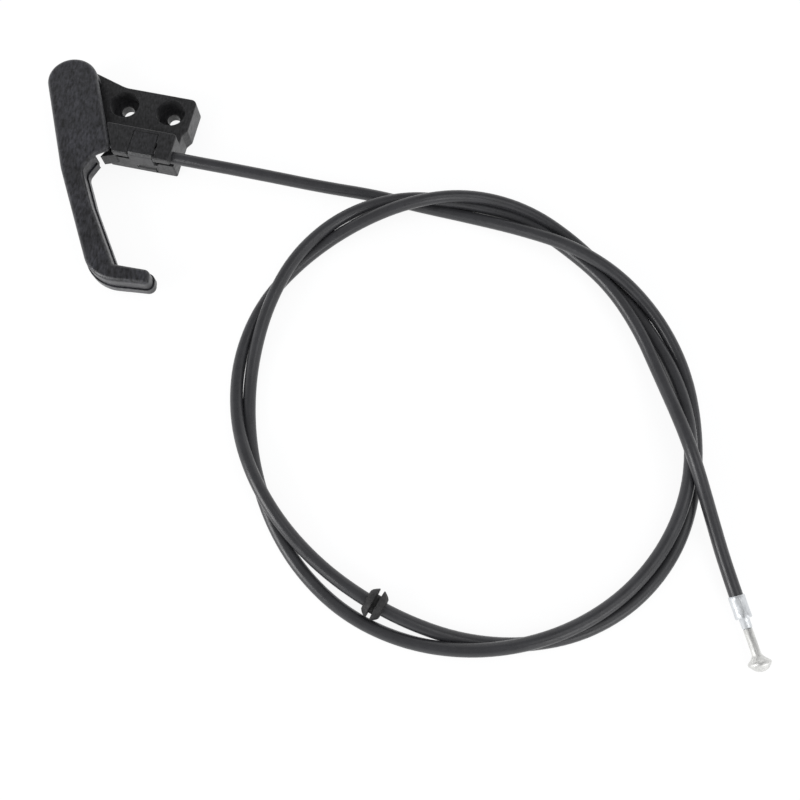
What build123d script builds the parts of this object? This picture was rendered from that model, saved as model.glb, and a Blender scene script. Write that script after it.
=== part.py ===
from build123d import *
from math import acos, atan2, cos, degrees, hypot, pi, radians, sin, tan
import os

os.makedirs("parts", exist_ok=True)

# The origin lies midway between the two screw holes, on the face that sits against the panel.
# +X runs along the screws toward the cable, +Z points away from the panel.

# Clearances
running_clearance = 0.05
fit_gap = 0.3
wire_clearance = 0.2
seat_gap = 0.1
# Length of a cut that passes right through any piece
cut_reach = 400.0

# Screw block of the bracket
screw_pitch = 24.2
screw_hole_radius = 3.2
screw_well_radius = 7.4
screw_well_depth = 6.8
well_step_radius = 3.9
well_step_height = 0.5
block_height = 10.8
block_back_y = 9.9
block_front_y = -11.7
block_right_x = 23.3
block_right_foot_y = -8.5
block_back_left_x = -14.5
block_corner_rounding = 3.0
block_back_rounding = 15.0
small_corner = 0.8
bracket_wall = 2.0
rib_thickness = 1.4
block_rounding = 0.6
block_core_left_x = -14.2

# Pivot
pivot_x = -39.0
pivot_y = 4.6
boss_radius = 12.2
pin_radius = 2.5
pin_head_radius = 4.4
pin_head_height = 1.4
pin_head_recess = 1.7
pin_head_bevel = 0.4
boss_core_radius = 5.6
boss_rib_count = 6
boss_rib_angle = 30.0
arm_crotch_x = -22.0
arm_crotch_y = -12.2
arm_crotch_rounding = 9.0
washer_thickness = 0.5
washer_radius = 6.0

# Cable
conduit_radius = 3.0
cable_y = -25.7
cable_z = 12.0
wire_radius = 0.9
sleeve_radius = 3.6
sleeve_left_x = 2.4
sleeve_right_x = 13.6
sleeve_bevel = 0.5
conduit_end_x = 5.6

# Cable clip
clip_left_x = 0.3
clip_right_x = 12.6
clip_back_y = -17.3
clip_thickness = 1.2
clip_bend = 1.4
clip_turn_drop = 2.1
clip_turn_angle = 45.0
clip_foot_z = 1.2
clip_hook_reach = 0.4
clip_hook_height = 2.8
clip_hook_edge = 0.8
clip_foot_inset = 1.5
tail_wall = 0.8
window_floor_z = 0.9
window_height = 3.5
window_inset = 1.0

# Cable housing of the bracket
housing_right_x = 21.3
housing_left_x = -13.4
housing_back_y = -15.1
hood_front_y = -30.6
hood_left_back_x = -14.9
hood_left_front_x = -7.6
hood_rounding = 0.7
hood_far_corner = 2.0
base_front_y = -28.7
slot_drop = 3.2
lip_rise = 1.6
slot_back_play = 0.8
trough_floor_z = 3.0
trough_left_x = -16.7
core_roof = 2.2
# Left and right ends of the three pockets behind the housing
pocket_edges = ((-9.5, -1.6), (-0.2, 12.8), (14.2, 19.3))

# Stop tab of the bracket
tab_left_x = -13.0
tab_point_x = -14.8
tab_point_y = -31.6
tab_front_x = -8.2
tab_right_x = -7.6
tab_foot_z = 4.0
tab_top_z = 11.0
tab_root = 1.0

# Handle
handle_top_z = 18.0
plate_thickness = 2.5
handle_wall = 2.0
head_radius = 12.4
head_skirt_z = 11.3
skirt_foot_z = 7.0
rim_top_z = 10.7
rim_offset = 0.75
groove_height = 0.5
groove_depth = 0.5
face_rounding = 2.0
rib_foot_z = 9.5
hub_radius = 4.5
pin_top_z = 15.0
sweep_radius = 13.6
arm_left_x = -28.8
arm_left_y = -45.0
arm_left_rounding = 40.0
hook_outer_x = 3.07
hook_outer_y = -98.2
hook_outer_rounding = 18.0
tip_x = 31.2
tip_y = -95.5
tip_rounding = 2.6
tip_inner_x = 29.6
tip_inner_y = -88.4
tip_inner_rounding = 3.2
hook_inner_x = 11.5
hook_inner_y = -88.8
hook_inner_rounding = 1.8
grip_top_x = -8.4
grip_top_y = -60.3
grip_top_rounding = 30.0
throat_x = -14.2
throat_y = -50.4
throat_rounding = 20.0
notch_x = -18.3
notch_y = -43.5
notch_rounding = 5.0
chin_x = -15.0
chin_y = -34.0
chin_rounding = 6.0
corner_x = -8.6
corner_y = -29.6
corner_rounding = 2.4

# Ribs inside the handle: the line of the long one, and the places of the short ones along it
spine_head_x = -31.5
spine_head_y = -30.0
spine_bend_x = -23.2
spine_bend_y = -45.2
spine_hook_x = 4.6
spine_hook_y = -92.6
spine_tip_y = -92.2
spine_bend_rounding = 30.0
spine_hook_rounding = 9.0
cross_rib_shares = (0.16, 0.3, 0.44, 0.58, 0.72, 0.86)

# Open right edge of the handle, from the head to the chin
opening_corner_x = -8.9
opening_foot_x = -15.3
opening_foot_y = -35.5
opening_head_x = -30.4
opening_head_y = 8.6
opening_width = 10.0

# Nipple at the lever end of the inner wire
nipple_x = -24.0
nipple_radius = 2.5
nipple_length = 5.4
nipple_bevel = 0.4
nipple_boss_radius = 4.7
nipple_boss_floor = 0.8
wire_fan_start = -24.0
wire_fan_end = 69.0
wire_fan_reach = 9.0

# Coil of the conduit
coil_x = 187.4
coil_y = -126.1
coil_height = 14.0
coil_bevel = 1.8
coil_corner_rounding = 70.0
coil_step = 30.0
# Distance of the corners of its outer and inner side from the middle, one every thirty degrees
coil_outer = (112.0, 111.0, 108.3, 117.5, 122.0, 118.0, 113.8, 103.8, 105.5, 106.6, 108.8, 114.0)
coil_inner = (100.0, 90.2, 95.0, 99.3, 107.6, 109.4, 99.5, 96.0, 90.2, 92.3, 99.8, 101.2)

# Grommet
grommet_radius = 6.9
grommet_width = 8.5
grommet_groove_width = 2.0
grommet_groove_depth = 2.6
grommet_bevel = 2.4
grommet_angle = 255.4
grommet_orbit = 91.7

# Fitting at the far end
fitting_x = 315.7
fitting_y = -179.4
fitting_z = 4.95
fitting_heading = -64.46
ferrule_radius = 3.55
ferrule_length = 9.7
ferrule_bevel = 0.4
nose_radius = 2.15
nose_length = 4.2
crimp_depth = 6.0
shank_radius = 1.95
shank_length = 11.6
mushroom_radius = 4.9
mushroom_length = 6.4
mushroom_neck = 2.2
mushroom_flare = 0.5
mushroom_rim = 1.2
mushroom_top_radius = 2.6
fitting_wire_length = 24.0
tail_straight = 13.0
tail_bore_depth = 17.0


def unit(angle):
    """The unit vector at an angle in the XY plane, in degrees."""
    return (cos(radians(angle)), sin(radians(angle)))


def around(centre_x, centre_y, distance, angle):
    """The point at a distance and an angle from a centre, in the XY plane."""
    way = unit(angle)
    return (centre_x + distance * way[0], centre_y + distance * way[1])


def tangent_angle(centre_x, centre_y, distance, spot_x, spot_y, side):
    """The angle at which a circle touches the straight line that runs to a spot outside it."""
    heading = degrees(atan2(spot_y - centre_y, spot_x - centre_x))
    spread = degrees(acos(distance / hypot(spot_x - centre_x, spot_y - centre_y)))
    return heading + side * spread


fitting_way = unit(fitting_heading)
hood_height = cable_z + sleeve_radius + 2 * seat_gap + clip_thickness
slot_floor_z = cable_z - slot_drop
hood_lip_z = cable_z + lip_rise
clip_bed_z = hood_height - clip_thickness
# The leg of the clip runs down before the sleeve, turns in under it, and ends in a tail
clip_leg_y = cable_y - sleeve_radius - seat_gap
clip_front_y = clip_leg_y - clip_thickness
clip_tail_y = base_front_y + tail_wall + seat_gap
clip_turn_z = cable_z - clip_turn_drop
clip_jog_z = clip_turn_z - (clip_tail_y - clip_front_y) / tan(radians(clip_turn_angle))
# How much higher the inner corner of such a turn stands than the outer one
clip_bend_shift = clip_thickness * tan(radians(clip_turn_angle / 2))

# The edges of the arm leave the pivot boss as tangents.
upper_angle = tangent_angle(
    pivot_x, pivot_y, boss_radius, block_back_left_x, block_back_y, 1
)
lower_angle = 360.0 + tangent_angle(
    pivot_x, pivot_y, boss_radius, arm_crotch_x, arm_crotch_y, -1
)

# The whole footprint of the bracket, without the hood
with BuildSketch() as bracket_outline:
    with BuildLine():
        FilletPolyline(
            around(pivot_x, pivot_y, boss_radius, upper_angle),
            (block_back_left_x, block_back_y),
            (block_right_x, block_back_y),
            (block_right_x, block_right_foot_y),
            (housing_right_x, block_front_y),
            (housing_right_x, base_front_y),
            (housing_left_x, base_front_y),
            (arm_crotch_x, arm_crotch_y),
            around(pivot_x, pivot_y, boss_radius, lower_angle),
            radius=[
                block_back_rounding,
                block_corner_rounding,
                small_corner,
                small_corner,
                small_corner,
                small_corner,
                arm_crotch_rounding,
            ],
        )
        CenterArc((pivot_x, pivot_y), boss_radius, upper_angle, lower_angle - upper_angle)
    make_face()

with BuildSketch() as hood_outline:
    with BuildLine():
        FilletPolyline(
            (hood_left_back_x, housing_back_y),
            (hood_left_front_x, hood_front_y),
            (housing_right_x, hood_front_y),
            (housing_right_x, housing_back_y),
            radius=[small_corner, small_corner, small_corner, hood_far_corner],
            close=True,
        )
    make_face()

screw_places = [(-screw_pitch / 2, 0), (screw_pitch / 2, 0)]
with BuildPart() as bracket:
    # Screw block, arm and pivot boss
    add(bracket_outline.sketch)
    extrude(amount=block_height)
    fillet(bracket.faces().sort_by(Axis.Z)[-1].edges(), block_rounding)
    # Trough between the screw block and the cable housing, closed by a wall at its right end
    with BuildSketch(Plane.XY.offset(trough_floor_z)):
        with Locations((trough_left_x, block_front_y)):
            Rectangle(
                housing_right_x - 2 * bracket_wall - trough_left_x,
                block_front_y - housing_back_y,
                align=(Align.MIN, Align.MAX),
            )
    extrude(amount=cut_reach, mode=Mode.SUBTRACT)
    # Hooded cable housing
    with BuildSketch(Plane.XY.offset(slot_floor_z)):
        add(hood_outline.sketch)
    extrude(amount=hood_height - slot_floor_z)
    fillet(bracket.faces().sort_by(Axis.Z)[-1].edges(), hood_rounding)
    # Front slot that the bare wire and the conduit are pressed into
    with BuildSketch(Plane.XY.offset(slot_floor_z)):
        with Locations((0, cable_y + wire_radius + slot_back_play)):
            Rectangle(cut_reach, cut_reach, align=(Align.CENTER, Align.MAX))
    extrude(amount=hood_lip_z - slot_floor_z, mode=Mode.SUBTRACT)
    # Bore for the conduit, up to the pocket of its end sleeve
    with BuildSketch(Plane.YZ.offset(sleeve_right_x)):
        with Locations((cable_y, cable_z)):
            Circle(conduit_radius + seat_gap)
    extrude(amount=cut_reach, mode=Mode.SUBTRACT)
    # Pocket for the end sleeve, open at the top and covered by the clip
    with BuildSketch(Plane.XY.offset(cable_z - sleeve_radius - seat_gap)):
        with Locations((sleeve_left_x - seat_gap, cable_y)):
            Rectangle(
                sleeve_right_x - sleeve_left_x + 2 * seat_gap,
                2 * (sleeve_radius + seat_gap),
                align=(Align.MIN, Align.CENTER),
            )
    extrude(amount=hood_height, mode=Mode.SUBTRACT)
    # Bed of the clip, over the top and down the front of the hood
    with BuildSketch(Plane.XY.offset(clip_bed_z)):
        with Locations((clip_left_x - fit_gap, clip_back_y + fit_gap)):
            Rectangle(
                clip_right_x - clip_left_x + 2 * fit_gap,
                cut_reach,
                align=(Align.MIN, Align.MAX),
            )
    extrude(amount=hood_height, mode=Mode.SUBTRACT)
    with BuildSketch(Plane.XY.offset(slot_floor_z)):
        with Locations((clip_left_x - fit_gap, base_front_y)):
            Rectangle(
                clip_right_x - clip_left_x + 2 * fit_gap,
                cut_reach,
                align=(Align.MIN, Align.MAX),
            )
    extrude(amount=hood_height, mode=Mode.SUBTRACT)
    # Slot behind the front wall, for the tail of the clip
    for floor_z, front_y in ((0, clip_tail_y - seat_gap), (clip_jog_z - seat_gap, hood_front_y)):
        with BuildSketch(Plane.XY.offset(floor_z)):
            with Locations((clip_left_x - fit_gap, clip_tail_y + clip_thickness + fit_gap)):
                Rectangle(
                    clip_right_x - clip_left_x + 2 * fit_gap,
                    clip_tail_y + clip_thickness + fit_gap - front_y,
                    align=(Align.MIN, Align.MAX),
                )
        extrude(amount=slot_floor_z - floor_z, mode=Mode.SUBTRACT)
    # Screw wells, with a fine step round each hole
    with BuildSketch(Plane.XY.offset(block_height - screw_well_depth + well_step_height)):
        with Locations(*screw_places):
            Circle(screw_well_radius)
    extrude(amount=cut_reach, mode=Mode.SUBTRACT)
    with BuildSketch(Plane.XY.offset(block_height - screw_well_depth)):
        with Locations(*screw_places):
            Circle(screw_well_radius)
            Circle(well_step_radius, mode=Mode.SUBTRACT)
    extrude(amount=well_step_height, mode=Mode.SUBTRACT)
    # Cores from the back: screw block with towers and ribs
    with BuildSketch() as block_core:
        with Locations((block_right_x - bracket_wall, block_back_y - bracket_wall)):
            Rectangle(
                block_right_x - bracket_wall - block_core_left_x,
                block_back_y - block_front_y - 2 * bracket_wall,
                align=(Align.MAX, Align.MAX),
            )
        with Locations(*screw_places):
            Circle(screw_well_radius + bracket_wall, mode=Mode.SUBTRACT)
        Rectangle(rib_thickness, cut_reach, mode=Mode.SUBTRACT)
    extrude(amount=block_height - core_roof, mode=Mode.SUBTRACT)
    # Cores from the back: the cable housing
    with BuildSketch() as housing_core:
        for left, right in pocket_edges:
            with Locations((left, base_front_y + bracket_wall)):
                Rectangle(
                    right - left,
                    housing_back_y - base_front_y - 2 * bracket_wall,
                    align=(Align.MIN, Align.MIN),
                )
    extrude(amount=slot_floor_z - core_roof, mode=Mode.SUBTRACT)
    # Cores from the back: the arm, in cells between crossed ribs
    with BuildSketch() as arm_core:
        add(bracket_outline.sketch)
        offset(amount=-bracket_wall, mode=Mode.REPLACE)
        with Locations((block_core_left_x - rib_thickness, 0)):
            Rectangle(cut_reach, cut_reach, align=(Align.MIN, Align.CENTER), mode=Mode.SUBTRACT)
        with Locations(*screw_places):
            Circle(screw_well_radius + bracket_wall, mode=Mode.SUBTRACT)
        with Locations((pivot_x, pivot_y)):
            Circle(boss_radius, mode=Mode.SUBTRACT)
            Circle(boss_radius - bracket_wall)
            Circle(boss_core_radius, mode=Mode.SUBTRACT)
            with PolarLocations(0, boss_rib_count, start_angle=boss_rib_angle):
                Rectangle(boss_radius, rib_thickness, align=(Align.MIN, Align.CENTER), mode=Mode.SUBTRACT)
    extrude(amount=block_height - core_roof, mode=Mode.SUBTRACT)
    # Window for the hook of the clip
    with BuildSketch(Plane.XZ.offset(-base_front_y)):
        with Locations(((clip_left_x + clip_right_x) / 2, window_floor_z)):
            Rectangle(
                clip_right_x - clip_left_x - 2 * window_inset,
                window_height,
                align=(Align.CENTER, Align.MIN),
            )
    extrude(amount=-bracket_wall - window_inset, mode=Mode.SUBTRACT)
    # Pointed stop tab beside the open edge of the handle
    with BuildSketch(Plane.XY.offset(tab_foot_z)):
        with BuildLine():
            Polyline(
                (tab_left_x, base_front_y + tab_root),
                (tab_point_x, tab_point_y),
                (tab_front_x, base_front_y - tab_root / 2),
                (tab_right_x, base_front_y + tab_root),
                close=True,
            )
        make_face()
    extrude(amount=tab_top_z - tab_foot_z)
    # Bore and head recess for the pivot pin, and the two screw holes
    with Locations((pivot_x, pivot_y)):
        Hole(pin_radius + running_clearance)
    with BuildSketch():
        with Locations((pivot_x, pivot_y)):
            Circle(pin_head_radius + fit_gap)
    extrude(amount=pin_head_recess, mode=Mode.SUBTRACT)
    with Locations(*screw_places):
        Hole(screw_hole_radius)

bracket.part.label = "bracket"
export_step(bracket.part, "parts/bracket.step")

# Spring clip: one folded strip over the housing, with a tail that snaps into the window
with BuildPart() as cable_clip:
    with BuildSketch(Plane.YZ.offset(clip_left_x)):
        with BuildLine():
            Polyline(
                (clip_back_y, hood_height),
                (clip_front_y + clip_bend, hood_height),
                (clip_front_y, hood_height - clip_bend),
                (clip_front_y, clip_turn_z),
                (clip_tail_y, clip_jog_z),
                (clip_tail_y, clip_foot_z + clip_hook_height),
                (base_front_y - clip_hook_reach, clip_foot_z + clip_hook_height - clip_hook_edge),
                (base_front_y - clip_hook_reach, clip_foot_z),
                (clip_tail_y + clip_thickness, clip_foot_z),
                (clip_tail_y + clip_thickness, clip_jog_z + clip_bend_shift),
                (clip_leg_y, clip_turn_z + clip_bend_shift),
                (clip_leg_y, clip_bed_z),
                (clip_back_y, clip_bed_z),
                close=True,
            )
        make_face()
    extrude(amount=clip_right_x - clip_left_x)
    # The foot is narrower than the leg, so that its hook enters the window
    for side_x, way in ((clip_left_x, Align.MIN), (clip_right_x, Align.MAX)):
        with BuildSketch(Plane.XY):
            with Locations((side_x, clip_leg_y)):
                Rectangle(clip_foot_inset, cut_reach, align=(way, Align.MIN))
        extrude(amount=window_floor_z + window_height, mode=Mode.SUBTRACT)
cable_clip.part.label = "cable_clip"
export_step(cable_clip.part, "parts/cable_clip.step")

# The edges of the handle leave its round head as tangents.
left_angle = tangent_angle(pivot_x, pivot_y, head_radius, arm_left_x, arm_left_y, -1)
right_angle = tangent_angle(pivot_x, pivot_y, head_radius, corner_x, corner_y, 1)

# Handle: a J-shaped lever moulded as an open-backed shell
with BuildSketch() as handle_outline:
    with BuildLine():
        FilletPolyline(
            around(pivot_x, pivot_y, head_radius, left_angle),
            (arm_left_x, arm_left_y),
            (hook_outer_x, hook_outer_y),
            (tip_x, tip_y),
            (tip_inner_x, tip_inner_y),
            (hook_inner_x, hook_inner_y),
            (grip_top_x, grip_top_y),
            (throat_x, throat_y),
            (notch_x, notch_y),
            (chin_x, chin_y),
            (corner_x, corner_y),
            around(pivot_x, pivot_y, head_radius, right_angle),
            radius=[
                arm_left_rounding,
                hook_outer_rounding,
                tip_rounding,
                tip_inner_rounding,
                hook_inner_rounding,
                grip_top_rounding,
                throat_rounding,
                notch_rounding,
                chin_rounding,
                corner_rounding,
            ],
        )
        CenterArc(
            (pivot_x, pivot_y),
            head_radius,
            right_angle,
            360.0 + left_angle - right_angle,
        )
    make_face()

with BuildSketch() as handle_inside:
    add(handle_outline.sketch)
    offset(amount=-handle_wall, mode=Mode.REPLACE)

with BuildSketch() as handle_rim:
    add(handle_outline.sketch)
    offset(amount=rim_offset, mode=Mode.REPLACE)

with BuildSketch() as handle_groove:
    add(handle_outline.sketch)
    offset(amount=-groove_depth, mode=Mode.REPLACE)

plate_back_z = handle_top_z - plate_thickness
nipple_boss_foot_z = cable_z - nipple_length / 2 - nipple_boss_floor

with BuildPart() as handle:
    add(handle_outline.sketch)
    extrude(amount=handle_top_z)
    fillet(handle.faces().sort_by(Axis.Z)[-1].edges(), face_rounding)
    # Everything behind the edge of the skirt
    with BuildSketch():
        Rectangle(cut_reach, cut_reach)
    extrude(amount=skirt_foot_z, mode=Mode.SUBTRACT)
    # Stepped rim at the back, set off by a fine groove
    with BuildSketch(Plane.XY.offset(skirt_foot_z)):
        add(handle_rim.sketch)
    extrude(amount=rim_top_z - skirt_foot_z)
    with BuildSketch(Plane.XY.offset(rim_top_z)):
        add(handle_rim.sketch)
        add(handle_groove.sketch, mode=Mode.SUBTRACT)
    extrude(amount=groove_height, mode=Mode.SUBTRACT)
    # Hollow of the shell
    with BuildSketch(Plane.XY.offset(skirt_foot_z)):
        add(handle_inside.sketch)
    extrude(amount=plate_back_z - skirt_foot_z, mode=Mode.SUBTRACT)
    # Ribs: one along the arm and the hook, and short ones across
    with BuildSketch(Plane.XY.offset(rib_foot_z)) as ribs:
        with BuildLine() as spine:
            FilletPolyline(
                (spine_head_x, spine_head_y),
                (spine_bend_x, spine_bend_y),
                (spine_hook_x, spine_hook_y),
                (tip_inner_x, spine_tip_y),
                radius=[spine_bend_rounding, spine_hook_rounding],
            )
        trace(spine.line, rib_thickness)
        for share in cross_rib_shares:
            foot = spine.line @ share
            way = spine.line % share
            with Locations(Location((foot.X, foot.Y, 0), (0, 0, degrees(atan2(way.Y, way.X))))):
                Rectangle(rib_thickness, 2 * head_radius)
        add(handle_inside.sketch, mode=Mode.INTERSECT)
    extrude(amount=plate_back_z - rib_foot_z)
    # Hub of the pivot pin
    with BuildSketch(Plane.XY.offset(head_skirt_z)):
        with Locations((pivot_x, pivot_y)):
            Circle(hub_radius)
    extrude(amount=plate_back_z - head_skirt_z)
    # Boss that holds the nipple of the inner wire
    with BuildSketch(Plane.XY.offset(nipple_boss_foot_z)):
        with Locations((nipple_x, cable_y)):
            Circle(nipple_boss_radius)
    extrude(amount=plate_back_z - nipple_boss_foot_z)
    with BuildSketch(Plane.XY.offset(nipple_boss_foot_z)):
        with Locations((nipple_x, cable_y)):
            Circle(nipple_radius + seat_gap)
    extrude(amount=nipple_length + nipple_boss_floor + seat_gap, mode=Mode.SUBTRACT)
    with BuildSketch(Plane.XY.offset(nipple_boss_foot_z)):
        with BuildLine():
            Polyline(
                (nipple_x, cable_y),
                around(nipple_x, cable_y, wire_fan_reach, wire_fan_start),
                around(nipple_x, cable_y, wire_fan_reach, (wire_fan_start + wire_fan_end) / 2),
                around(nipple_x, cable_y, wire_fan_reach, wire_fan_end),
                close=True,
            )
        make_face()
    extrude(amount=cable_z + wire_radius + wire_clearance - nipple_boss_foot_z, mode=Mode.SUBTRACT)
    # The skirt stays clear of the bracket round the pivot
    with BuildSketch():
        with Locations((pivot_x, pivot_y)):
            Circle(sweep_radius)
    extrude(amount=head_skirt_z, mode=Mode.SUBTRACT)
    # The right edge is open from the head to the chin, where the bracket and the wire come in
    with BuildSketch():
        with BuildLine():
            Polyline(
                (opening_foot_x, opening_foot_y),
                (opening_head_x, opening_head_y),
                (opening_head_x + opening_width, opening_head_y),
                (opening_corner_x + opening_width / 2, opening_foot_y),
                close=True,
            )
        make_face()
    extrude(amount=plate_back_z, mode=Mode.SUBTRACT)
    # Blind bore for the pressed pin
    with BuildSketch():
        with Locations((pivot_x, pivot_y)):
            Circle(pin_radius)
    extrude(amount=pin_top_z, mode=Mode.SUBTRACT)
handle.part.label = "handle"
export_step(handle.part, "parts/handle.step")

# Headed pivot pin, put in from the back and pressed into the hub
with BuildPart() as pivot_pin:
    with BuildSketch(Plane.XY.offset(pin_head_recess - pin_head_height)):
        with Locations((pivot_x, pivot_y)):
            Circle(pin_head_radius)
    extrude(amount=pin_head_height - seat_gap)
    with BuildSketch(Plane.XY.offset(pin_head_recess - pin_head_height)):
        with Locations((pivot_x, pivot_y)):
            Circle(pin_radius)
    extrude(amount=pin_top_z - pin_head_recess + pin_head_height)
    chamfer(pivot_pin.edges().group_by(Axis.Z)[0], pin_head_bevel)
pivot_pin.part.label = "pivot_pin"
export_step(pivot_pin.part, "parts/pivot_pin.step")

with BuildPart() as thrust_washer:
    with BuildSketch(Plane.XY.offset(block_height)):
        with Locations((pivot_x, pivot_y)):
            Circle(washer_radius)
            Circle(pin_radius + running_clearance, mode=Mode.SUBTRACT)
    extrude(amount=washer_thickness - seat_gap)
thrust_washer.part.label = "thrust_washer"
export_step(thrust_washer.part, "parts/thrust_washer.step")

# Sleeve crimped on the lever end of the conduit
with BuildPart() as conduit_end_sleeve:
    with BuildSketch(Plane.YZ.offset(sleeve_left_x)):
        with Locations((cable_y, cable_z)):
            Circle(sleeve_radius)
    extrude(amount=sleeve_right_x - sleeve_left_x)
    chamfer(conduit_end_sleeve.edges().group_by(Axis.X)[0], sleeve_bevel)
    with BuildSketch(Plane.YZ.offset(conduit_end_x)):
        with Locations((cable_y, cable_z)):
            Circle(conduit_radius)
    extrude(amount=sleeve_right_x - conduit_end_x, mode=Mode.SUBTRACT)
    with BuildSketch(Plane.YZ.offset(sleeve_left_x)):
        with Locations((cable_y, cable_z)):
            Circle(wire_radius + wire_clearance)
    extrude(amount=conduit_end_x - sleeve_left_x, mode=Mode.SUBTRACT)
conduit_end_sleeve.part.label = "conduit_end_sleeve"
export_step(conduit_end_sleeve.part, "parts/conduit_end_sleeve.step")

# Barrel nipple of the inner wire, standing in its boss in the handle
with BuildPart() as lever_nipple:
    with BuildSketch(Plane.XY.offset(cable_z - nipple_length / 2)):
        with Locations((nipple_x, cable_y)):
            Circle(nipple_radius)
    extrude(amount=nipple_length)
    chamfer(lever_nipple.edges().filter_by(GeomType.CIRCLE), nipple_bevel)
lever_nipple.part.label = "lever_nipple"
export_step(lever_nipple.part, "parts/lever_nipple.step")

with BuildPart() as inner_wire_lever:
    with BuildSketch(Plane.YZ.offset(nipple_x + nipple_radius)):
        with Locations((cable_y, cable_z)):
            Circle(wire_radius)
    extrude(amount=conduit_end_x - nipple_x - nipple_radius)
inner_wire_lever.part.label = "inner_wire_lever"
export_step(inner_wire_lever.part, "parts/inner_wire_lever.step")


def grommet_plane():
    """The plane through the middle of the grommet, square to the conduit there."""
    spot = around(coil_x, coil_y, grommet_orbit, grommet_angle)
    way = unit(grommet_angle - 90.0)
    return Plane(
        origin=(spot[0], spot[1], grommet_radius),
        x_dir=(0, 0, 1),
        z_dir=(way[0], way[1], 0),
    )


# The coil lies flat as one closed ring of tightly wound turns
with BuildPart() as conduit_coil:
    with BuildSketch():
        for corners, use in ((coil_outer, Mode.ADD), (coil_inner, Mode.SUBTRACT)):
            with BuildLine() as ring_edge:
                FilletPolyline(
                    *[
                        around(coil_x, coil_y, reach, coil_step * place)
                        for place, reach in enumerate(corners)
                    ],
                    radius=coil_corner_rounding,
                    close=True,
                )
            make_face(ring_edge.edges(), mode=use)
    extrude(amount=coil_height)
    chamfer(conduit_coil.faces().sort_by(Axis.Z)[-1].edges(), coil_bevel)
    # Room for the grommet on the inner turn
    with BuildSketch(grommet_plane()):
        Circle(grommet_radius + seat_gap)
    extrude(amount=grommet_width / 2 + seat_gap, both=True, mode=Mode.SUBTRACT)
conduit_coil.part.label = "conduit_coil"
export_step(conduit_coil.part, "parts/conduit_coil.step")

# Split rubber grommet with a groove for a sheet-metal panel
with BuildPart() as grommet:
    with BuildSketch(Plane(grommet_plane().origin, x_dir=grommet_plane().z_dir, z_dir=(0, 0, 1))):
        with BuildLine():
            half = grommet_width / 2
            groove = grommet_groove_width / 2
            shoulder = (half + groove) / 2
            Polyline(
                (-half, conduit_radius),
                (-half, grommet_radius - grommet_bevel),
                (-shoulder, grommet_radius - grommet_bevel / 4),
                (-groove, grommet_radius),
                (-groove, grommet_radius - grommet_groove_depth),
                (groove, grommet_radius - grommet_groove_depth),
                (groove, grommet_radius),
                (shoulder, grommet_radius - grommet_bevel / 4),
                (half, grommet_radius - grommet_bevel),
                (half, conduit_radius),
                close=True,
            )
        make_face()
    revolve(axis=Axis(grommet_plane().origin, grommet_plane().z_dir))
grommet.part.label = "grommet"
export_step(grommet.part, "parts/grommet.step")


def bend_radii(route, name):
    """For each corner of a cord's route, the largest arc that its two straight runs allow."""
    bends = []
    for before, corner, after in zip(route, route[1:], route[2:]):
        into = Vector(*corner) - Vector(*before)
        out = Vector(*after) - Vector(*corner)
        turn = into.get_angle(out)
        bends.append(0.45 * min(into.length, out.length) / tan(radians(turn / 2)))
    print(name, "radii", [round(bend) for bend in bends])
    return bends


def compare_volume(tube, path, name):
    """Print the volume of a tube beside its section times its length."""
    expected = pi * conduit_radius**2 * path.length
    print(name, "length", path.length, "volume", tube.volume, "section by length", expected)


# Route of the conduit from its sleeve down to the coil, and from the coil to the far fitting
lead_route = [
    (conduit_end_x, cable_y, cable_z),
    (36.0, -25.6, 12.0),
    (66.0, -24.8, 10.4),
    (96.0, -22.6, 5.6),
    (122.0, -20.4, 3.0),
    (144.0, -21.9, 3.0),
]
tail_route = [
    (288.8, -126.6, 10.4),
    (302.2, -151.6, 8.0),
    around(fitting_x, fitting_y, -tail_straight, fitting_heading) + (fitting_z,),
    around(fitting_x, fitting_y, crimp_depth, fitting_heading) + (fitting_z,),
]

with BuildPart() as conduit_lead:
    with BuildLine() as lead_path:
        FilletPolyline(*lead_route, radius=bend_radii(lead_route, "conduit_lead"))
    with BuildSketch(Plane(lead_path.line @ 0, z_dir=lead_path.line % 0)):
        Circle(conduit_radius)
    sweep()
    compare_volume(conduit_lead.part, lead_path.wire(), "conduit_lead")
    add(conduit_coil.part, mode=Mode.SUBTRACT)
conduit_lead.part.label = "conduit_lead"
export_step(conduit_lead.part, "parts/conduit_lead.step")

with BuildPart() as conduit_tail:
    with BuildLine() as tail_path:
        FilletPolyline(*tail_route, radius=bend_radii(tail_route, "conduit_tail"))
    with BuildSketch(Plane(tail_path.line @ 0, z_dir=tail_path.line % 0)):
        Circle(conduit_radius)
    sweep()
    compare_volume(conduit_tail.part, tail_path.wire(), "conduit_tail")
    add(conduit_coil.part, mode=Mode.SUBTRACT)
    with BuildSketch(Plane(tail_path.line @ 1, z_dir=tail_path.line % 1)):
        Circle(wire_radius + wire_clearance)
    extrude(amount=-tail_bore_depth, mode=Mode.SUBTRACT)
conduit_tail.part.label = "conduit_tail"
export_step(conduit_tail.part, "parts/conduit_tail.step")

# Far end: everything here is turned about the axis of the cable's last stretch
fitting_plane = Plane(
    origin=(fitting_x, fitting_y, fitting_z),
    x_dir=(fitting_way[0], fitting_way[1], 0),
    z_dir=(0, 0, 1),
)
fitting_axis = Axis((fitting_x, fitting_y, fitting_z), (fitting_way[0], fitting_way[1], 0))
nose_end = ferrule_length + nose_length

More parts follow.
